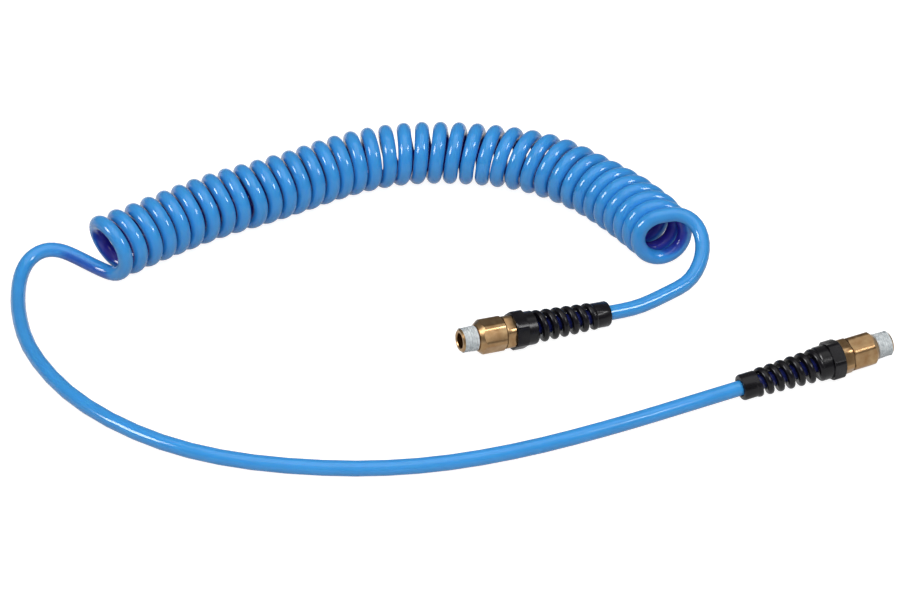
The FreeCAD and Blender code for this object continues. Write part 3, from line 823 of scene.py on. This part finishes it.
brass = empty_finish("drawn_and_turned_brass")
tree = brass.node_tree
own_place = add_node(tree, "ShaderNodeAttribute", {"attribute_name": "own_place"})
stains = add_node(tree, "ShaderNodeTexNoise", inputs={
    "Vector": own_place.outputs["Vector"], "Scale": 1.0 / STAIN_SIZE, "Detail": 5.0})
tint = add_node(tree, "ShaderNodeValToRGB", inputs={"Fac": stains.outputs["Fac"]},
                stops=[(0.3, "9B7853"), (0.5, "A98963"), (0.72, "B79A72")])
along_bar = add_node(tree, "ShaderNodeMapping", inputs={
    "Vector": own_place.outputs["Vector"],
    "Scale": (1.0 / DRAWN_LINE, 1.0 / DRAWN_LINE, 1.0 / DRAWN_LINE_LENGTH)})
lines = add_node(tree, "ShaderNodeTexNoise", inputs={
    "Vector": along_bar.outputs["Vector"], "Scale": 1.0, "Detail": 2.0})
dullness = add_node(tree, "ShaderNodeMapRange", inputs={
    "Value": stains.outputs["Fac"], "To Min": 0.26, "To Max": 0.33})
scratches = add_node(tree, "ShaderNodeBump", inputs={
    "Height": lines.outputs["Fac"], "Strength": 0.05, "Distance": 0.02 * MM})
shader = add_node(tree, "ShaderNodeBsdfPrincipled", inputs={
    "Base Color": tint.outputs["Color"], "Roughness": dullness.outputs["Result"],
    "Normal": scratches.outputs["Normal"], "Metallic": 1.0})
add_node(tree, "ShaderNodeOutputMaterial", inputs={"Surface": shader.outputs["BSDF"]})
finish_with(brass, *nipples, *unions)

# %% [markdown]
# The coat is a dried sealing paste: a cold greyish white, matt and gritty, dirtier in patches of
# about 2 mm where it has been handled. The grit is 0.3 mm across, and bump is enough for it.

# %% Sealing coat
HANDLED_PATCH = 2.2 * MM
GRIT = 0.3 * MM

sealant = empty_finish("dried_sealing_paste")
tree = sealant.node_tree
on_object = add_node(tree, "ShaderNodeTexCoord")
patches = add_node(tree, "ShaderNodeTexNoise", inputs={
    "Vector": on_object.outputs["Object"], "Scale": 1.0 / HANDLED_PATCH, "Detail": 4.0})
pale = add_node(tree, "ShaderNodeValToRGB", inputs={"Fac": patches.outputs["Fac"]},
                stops=[(0.3, "A9B1B5"), (0.62, "D2D7D9")])
grit = add_node(tree, "ShaderNodeTexNoise", inputs={
    "Vector": on_object.outputs["Object"], "Scale": 1.0 / GRIT, "Detail": 2.0})
rough = add_node(tree, "ShaderNodeBump", inputs={
    "Height": grit.outputs["Fac"], "Strength": 0.4, "Distance": 0.06 * MM})
shader = add_node(tree, "ShaderNodeBsdfPrincipled", inputs={
    "Base Color": pale.outputs["Color"], "Normal": rough.outputs["Normal"], "Roughness": 0.55})
add_node(tree, "ShaderNodeOutputMaterial", inputs={"Surface": shader.outputs["BSDF"]})
finish_with(sealant, *coats)

# %% [markdown]
# The nut is black nylon from a spark-eroded mould: nearly black with a trace of violet, half
# glossy, and very finely grained. The grain of the real mould is 0.1 mm, drawn at 0.5 mm here so
# that it shows.

# %% Black nylon
MOULD_GRAIN = 0.5 * MM
FLOW_PATCH = 6.0 * MM

nylon = empty_finish("moulded_nylon")
tree = nylon.node_tree
on_object = add_node(tree, "ShaderNodeTexCoord")
grain = add_node(tree, "ShaderNodeTexNoise", inputs={
    "Vector": on_object.outputs["Object"], "Scale": 1.0 / MOULD_GRAIN, "Detail": 2.0})
flow = add_node(tree, "ShaderNodeTexNoise", inputs={
    "Vector": on_object.outputs["Object"], "Scale": 1.0 / FLOW_PATCH, "Detail": 3.0})
black = add_node(tree, "ShaderNodeValToRGB", inputs={"Fac": flow.outputs["Fac"]},
                 stops=[(0.3, "08070B"), (0.7, "110F15")])
gloss = add_node(tree, "ShaderNodeMapRange", inputs={
    "Value": flow.outputs["Fac"], "To Min": 0.2, "To Max": 0.32})
mould = add_node(tree, "ShaderNodeBump", inputs={
    "Height": grain.outputs["Fac"], "Strength": 0.12, "Distance": 0.05 * MM})
shader = add_node(tree, "ShaderNodeBsdfPrincipled", inputs={
    "Base Color": black.outputs["Color"], "Roughness": gloss.outputs["Result"],
    "Normal": mould.outputs["Normal"], "Specular IOR Level": 0.3})
add_node(tree, "ShaderNodeOutputMaterial", inputs={"Surface": shader.outputs["BSDF"]})
finish_with(nylon, *guard_nuts)

# %% [markdown]
# The pieces inside the swivels are the frame's own, and are seen only when a fitting is taken
# apart. Each gets the finish of its own stuff, mottled a little: nitrile rubber with a dusty
# bloom, drawn spring steel, acetal like unglazed china, and the brass above for the clamp.

# %% Finishes of the inner pieces
INNER_STUFF = {
    "nitrile_rubber": ("141414", "1F1F20", 1.5 * MM, 0.5, 0.0),
    "drawn_spring_steel": ("8A8C90", "A8AAAD", 0.6 * MM, 0.28, 1.0),
    "acetal": ("D6D6CE", "E8E8E2", 2.0 * MM, 0.4, 0.0)}

inner_finishes = {}
for name, (low, high, size, roughness, metallic) in INNER_STUFF.items():
    inner_finishes[name] = empty_finish(name)
    tree = inner_finishes[name].node_tree
    on_object = add_node(tree, "ShaderNodeTexCoord")
    mottle = add_node(tree, "ShaderNodeTexNoise", inputs={
        "Vector": on_object.outputs["Object"], "Scale": 1.0 / size, "Detail": 3.0})
    colour = add_node(tree, "ShaderNodeValToRGB", inputs={"Fac": mottle.outputs["Fac"]},
                      stops=[(0.3, low), (0.7, high)])
    shader = add_node(tree, "ShaderNodeBsdfPrincipled", inputs={
        "Base Color": colour.outputs["Color"], "Roughness": roughness, "Metallic": metallic})
    add_node(tree, "ShaderNodeOutputMaterial", inputs={"Surface": shader.outputs["BSDF"]})

for end in PLACES:
    nodes = frame["nodes"]
    finish_with(inner_finishes["nitrile_rubber"], nodes[end + "_pressure_seal"],
                nodes[end + "_dust_seal"])
    finish_with(inner_finishes["drawn_spring_steel"], nodes[end + "_retaining_ring"])
    finish_with(inner_finishes["acetal"], nodes[end + "_slip_washer"])
    finish_with(brass, nodes[end + "_clamp_ring"])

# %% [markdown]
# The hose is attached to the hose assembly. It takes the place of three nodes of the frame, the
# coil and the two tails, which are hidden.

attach(hose, "hose_assembly")
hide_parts("hose_coil", "supply_hose_tail", "tool_hose_tail")

# %% [markdown]
# The table is bright white in the picture, with hardly a shadow. More light would do that, but
# it would bleach the object, so the table adds a glow of its own for rays from the camera. Rays
# that are mirrored or pass through something see the glow too, but a weaker one, because the
# brass in the picture mirrors a duller table. For all other rays the table is a matt grey, which
# keeps the light that it throws back on the hose as weak as in the picture.

# %% Table
bpy.ops.mesh.primitive_plane_add(size=8.0, location=(0, 0, -0.0002))
table = bpy.context.object
table.name = "table"
white_table = empty_finish("white_table")
tree = white_table.node_tree
ray = add_node(tree, "ShaderNodeLightPath")
mirrored = add_node(tree, "ShaderNodeMath", {"operation": "MAXIMUM"})
tree.links.new(ray.outputs["Is Glossy Ray"], mirrored.inputs[0])
tree.links.new(ray.outputs["Is Transmission Ray"], mirrored.inputs[1])
weaker = add_node(tree, "ShaderNodeMapRange", inputs={
    "Value": mirrored.outputs["Value"], "To Min": 0.0, "To Max": 0.55})
seen = add_node(tree, "ShaderNodeMath", {"operation": "MAXIMUM"})
tree.links.new(ray.outputs["Is Camera Ray"], seen.inputs[0])
tree.links.new(weaker.outputs["Result"], seen.inputs[1])
glow_strength = add_node(tree, "ShaderNodeMapRange", inputs={
    "Value": seen.outputs["Value"], "To Min": 0.0, "To Max": 0.9})
matt = add_node(tree, "ShaderNodeBsdfDiffuse", inputs={"Color": linear("A8A8A8")})
glow = add_node(tree, "ShaderNodeEmission", inputs={
    "Color": linear("FFFFFF"), "Strength": glow_strength.outputs["Result"]})
both = add_node(tree, "ShaderNodeAddShader")
tree.links.new(matt.outputs["BSDF"], both.inputs[0])
tree.links.new(glow.outputs["Emission"], both.inputs[1])
add_node(tree, "ShaderNodeOutputMaterial", inputs={"Surface": both.outputs["Shader"]})
finish_with(white_table, table)

# %% [markdown]
# Light. A wide box above and one behind the camera light the hose softly from the front and
# the top. The one behind the camera isn't mirrored, or it would lay a pale sheet on every turn.
# Two bright boxes stand four metres away, 70 degrees to the left and 65 to the right. They only
# take part in reflections, and give the pair of short glints on every turn and the pale bands
# on the brass corners. A weak white surround fills in the rest.


# %% Lamps
def soft_box(name, azimuth, elevation, distance, size, power):
    """A square lamp aimed at the middle of the hose."""
    around = math.radians(azimuth)
    above = math.radians(elevation)
    way = Vector((math.sin(around) * math.cos(above), -math.cos(around) * math.cos(above),
                  math.sin(above)))
    bpy.ops.object.light_add(type="AREA", location=CAMERA_AIM + way * distance)
    lamp = bpy.context.object
    lamp.name = name
    lamp.data.shape = "SQUARE"
    lamp.data.size = size
    lamp.data.energy = power
    lamp.rotation_euler = way.to_track_quat("Z", "Y").to_euler()
    return lamp


top_box = soft_box("top_box", 0.0, 82.0, 1.8, 2.0, 16.0)
front_box = soft_box("front_box", 0.0, 42.0, 2.2, 2.2, 32.0)
front_box.visible_glossy = False
left_box = soft_box("left_box", -70.3, 27.7, 4.0, 1.50, 110.0)
right_box = soft_box("right_box", 65.0, 38.5, 4.0, 1.10, 62.0)
for lamp in (left_box, right_box):
    lamp.visible_diffuse = False
    lamp.visible_camera = False

# %% Surround
surround = bpy.data.worlds.new("white_studio")
surround.use_nodes = True
surround.node_tree.nodes["Background"].inputs["Color"].default_value = linear("FFFFFF")
surround.node_tree.nodes["Background"].inputs["Strength"].default_value = 0.22
bpy.context.scene.world = surround
print("lamps", [lamp.name for lamp in (top_box, front_box, left_box, right_box)])
